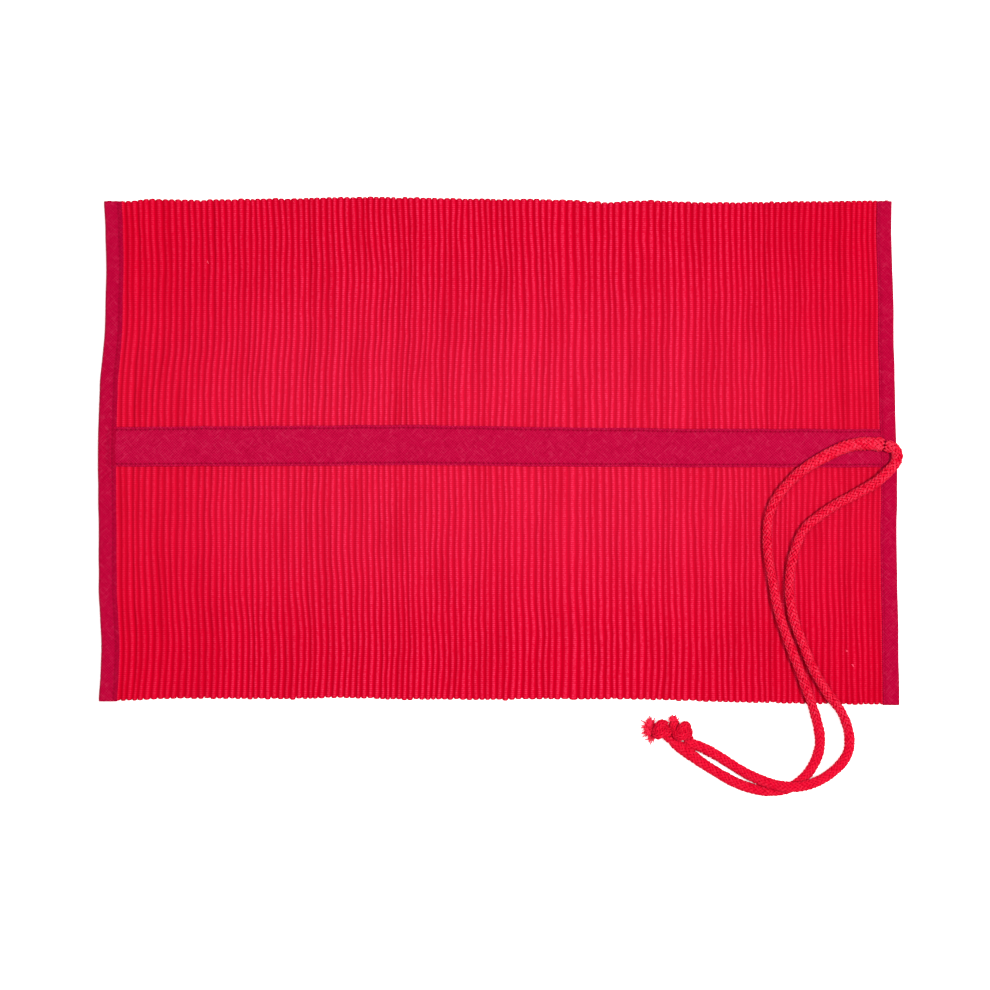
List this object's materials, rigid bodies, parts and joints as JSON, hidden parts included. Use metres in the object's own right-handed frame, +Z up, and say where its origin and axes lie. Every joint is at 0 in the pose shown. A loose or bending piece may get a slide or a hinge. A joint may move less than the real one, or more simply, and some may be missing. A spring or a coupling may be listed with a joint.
{
  "type": "pencil roll",
  "caption": "Ribbed cotton pencil roll lying open, outside up, with folded tape bindings, a sewn centre tape and a long knotted tie cord at its right end.",
  "frame": {"origin": "middle of the roll's footprint, on the surface that it lies on", "axes": "+X along the roll's length towards the end that the cord is sewn to, +Y up the ribs away from the cord's knots, +Z up from the surface"},
  "size_m": [0.4278, 0.319, 0.0112],
  "materials": {
    "ribbed_cotton": "ribbed matt cotton rep",
    "crimson_tape": "plain woven bias tape, matt with a faint sheen",
    "crimson_band": "plain woven elastic band, matt",
    "cotton_cord": "soft braided cotton, matt",
    "sewing_thread": "twisted sewing thread, faint sheen"
  },
  "bodies": {
    "root": {"ribbed_mat": "ribbed_cotton", "left_binding": "crimson_tape", "right_binding": "crimson_tape", "centre_tape": "crimson_tape", "pencil_band": "crimson_band", "cord_tack": "sewing_thread", "tie_cord_left": "cotton_cord", "tie_cord_right": "cotton_cord", "left_knot": "cotton_cord", "right_knot": "cotton_cord"}
  },
  "joints": []
}
